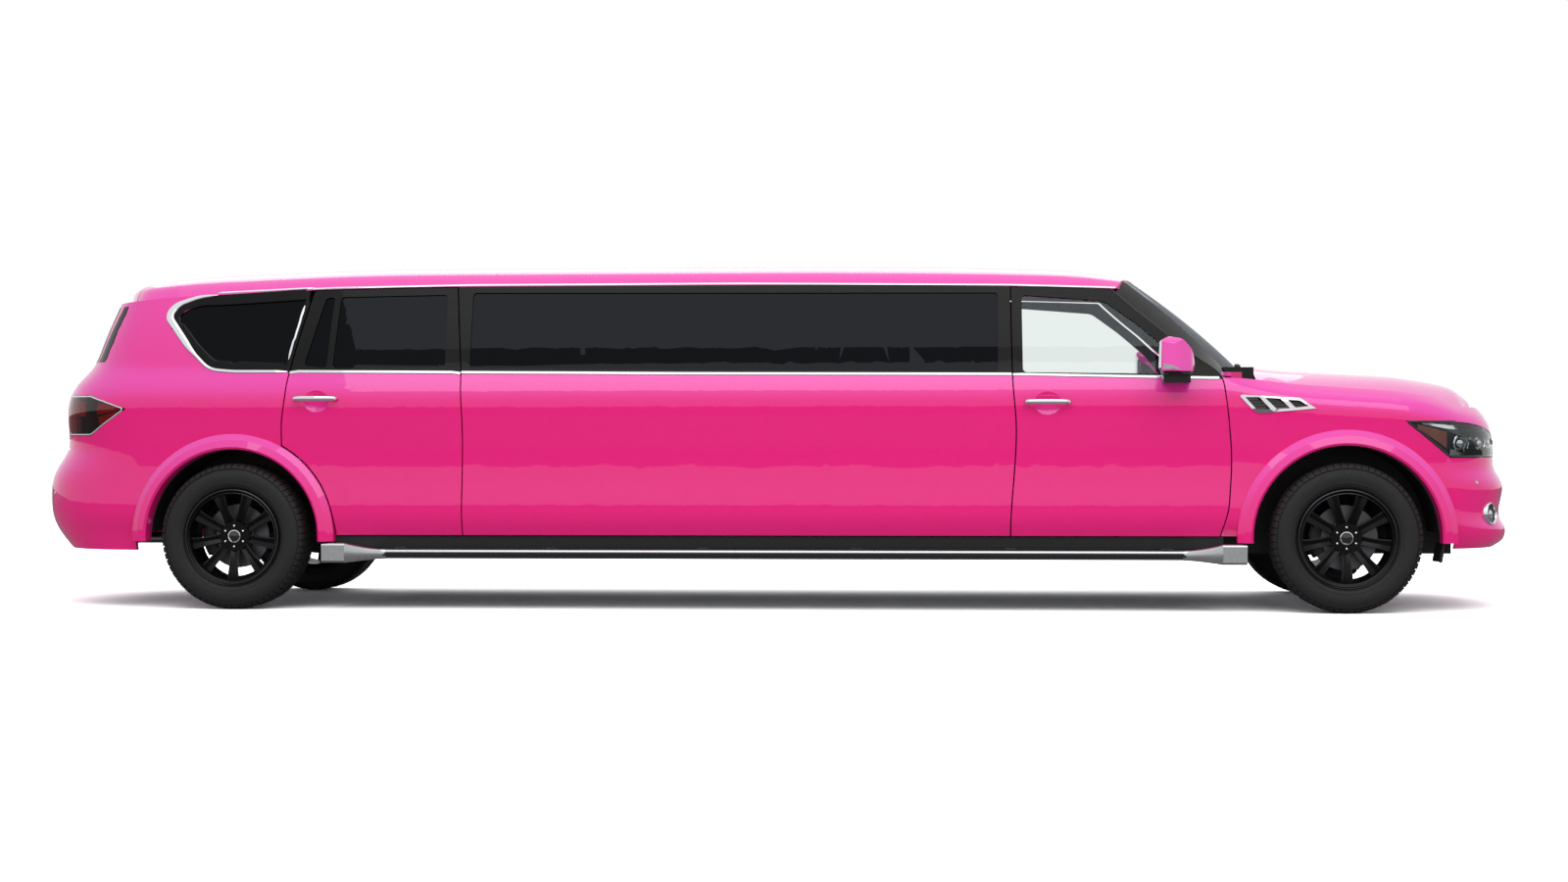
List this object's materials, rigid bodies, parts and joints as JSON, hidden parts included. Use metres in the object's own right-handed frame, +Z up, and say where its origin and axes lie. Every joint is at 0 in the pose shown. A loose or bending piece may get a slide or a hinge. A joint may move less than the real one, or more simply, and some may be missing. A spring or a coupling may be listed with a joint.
{
  "type": "stretch limousine",
  "caption": "Stretched full-size sport utility limousine with a hollow cabin, hinged doors, hood and tailgate, steered front wheels and turning wheels.",
  "frame": {"origin": "on the ground, at the middle of the overall length and width", "axes": "+X to the front, +Y to the left, +Z up"},
  "size_m": [8.3354, 2.4684, 1.9359],
  "materials": {
    "body_paint": "gloss",
    "black_paint": "gloss",
    "frame_steel": "satin",
    "cast_iron": "matte",
    "steel": "satin",
    "aluminium": "satin",
    "chrome": "polished",
    "black_plastic": "matte",
    "lamp_clear": "clear",
    "lamp_red": "clear",
    "glass_clear": "clear",
    "glass_dark": "tinted",
    "tyre": "matte",
    "leather": "satin",
    "trim": "matte",
    "wheel_black": "gloss"
  },
  "bodies": {
    "vehicle": {"chassis_frame": "frame_steel", "floor_pan": "black_paint", "wheel_liners": "black_plastic", "engine_block": "cast_iron", "roof": "body_paint", "quarter_panels": "body_paint", "stretch_panels": "body_paint", "fenders": "body_paint", "windshield_frame": "black_paint", "windshield": "glass_clear", "side_glass": "glass_dark", "front_bumper": "body_paint", "fender_vents": "chrome", "rear_bumper": "body_paint", "grille": "chrome", "front_lamps": "lamp_clear", "tail_lamps": "lamp_red", "running_boards": "aluminium", "rear_axle": "frame_steel", "front_suspension": "frame_steel", "driveshaft": "steel", "exhaust": "steel", "fuel_tank": "black_plastic", "dashboard": "trim", "steering_wheel": "trim", "front_seats": "leather", "lounge_seats": "leather", "partition": "trim"},
    "hood": {"hood": "body_paint"},
    "tailgate": {"tailgate": "body_paint", "tailgate_glass": "glass_dark"},
    "front_door_left": {"front_door_left": "body_paint", "front_door_glass_left": "glass_clear", "mirror_left": "body_paint", "front_handle_left": "chrome"},
    "rear_door_left": {"rear_door_left": "body_paint", "rear_door_glass_left": "glass_dark", "rear_handle_left": "chrome"},
    "knuckle_left": {"knuckle_left": "cast_iron"},
    "wheel_front_left": {"wheel_front_left": "wheel_black", "tyre_front_left": "tyre"},
    "wheel_rear_left": {"wheel_rear_left": "wheel_black", "tyre_rear_left": "tyre"},
    "front_door_right": {"front_door_right": "body_paint", "front_door_glass_right": "glass_clear", "mirror_right": "body_paint", "front_handle_right": "chrome"},
    "rear_door_right": {"rear_door_right": "body_paint", "rear_door_glass_right": "glass_dark", "rear_handle_right": "chrome"},
    "knuckle_right": {"knuckle_right": "cast_iron"},
    "wheel_front_right": {"wheel_front_right": "wheel_black", "tyre_front_right": "tyre"},
    "wheel_rear_right": {"wheel_rear_right": "wheel_black", "tyre_rear_right": "tyre"}
  },
  "joints": [
    {"name": "hood_hinge", "type": "hinge", "parent": "vehicle", "child": "hood", "pos_m": [2.738, 0, 1.352], "axis": [0, -1, 0], "range_deg": [0, 50]},
    {"name": "tailgate_hinge", "type": "hinge", "parent": "vehicle", "child": "tailgate", "pos_m": [-3.562, 0, 1.862], "axis": [0, 1, 0], "range_deg": [0, 80]},
    {"name": "front_door_hinge_left", "type": "hinge", "parent": "vehicle", "child": "front_door_left", "pos_m": [2.5905, 0.99, 0.9], "axis": [0, 0, -1], "range_deg": [0, 65]},
    {"name": "rear_door_hinge_left", "type": "hinge", "parent": "vehicle", "child": "rear_door_left", "pos_m": [-1.61839, 0.99, 0.9], "axis": [0, 0, -1], "range_deg": [0, 65]},
    {"name": "steer_left", "type": "hinge", "parent": "vehicle", "child": "knuckle_left", "pos_m": [3.209, 0.748, 0.4055], "axis": [0, 0, 1], "range_deg": [-30, 30]},
    {"name": "spin_front_left", "type": "hinge", "parent": "knuckle_left", "child": "wheel_front_left", "pos_m": [3.209, 0.8625, 0.4055], "axis": [0, 1, 0], "continuous": true},
    {"name": "spin_rear_left", "type": "hinge", "parent": "vehicle", "child": "wheel_rear_left", "pos_m": [-2.914, 0.8625, 0.4055], "axis": [0, 1, 0], "continuous": true},
    {"name": "front_door_hinge_right", "type": "hinge", "parent": "vehicle", "child": "front_door_right", "pos_m": [2.5905, -0.99, 0.9], "axis": [0, 0, 1], "range_deg": [0, 65]},
    {"name": "rear_door_hinge_right", "type": "hinge", "parent": "vehicle", "child": "rear_door_right", "pos_m": [-1.61839, -0.99, 0.9], "axis": [0, 0, 1], "range_deg": [0, 65]},
    {"name": "steer_right", "type": "hinge", "parent": "vehicle", "child": "knuckle_right", "pos_m": [3.209, -0.748, 0.4055], "axis": [0, 0, 1], "range_deg": [-30, 30]},
    {"name": "spin_front_right", "type": "hinge", "parent": "knuckle_right", "child": "wheel_front_right", "pos_m": [3.209, -0.8625, 0.4055], "axis": [0, 1, 0], "continuous": true},
    {"name": "spin_rear_right", "type": "hinge", "parent": "vehicle", "child": "wheel_rear_right", "pos_m": [-2.914, -0.8625, 0.4055], "axis": [0, 1, 0], "continuous": true}
  ],
  "couplings": [
    {"joint": "steer_right", "follows": "steer_left", "ratio": 1}
  ]
}
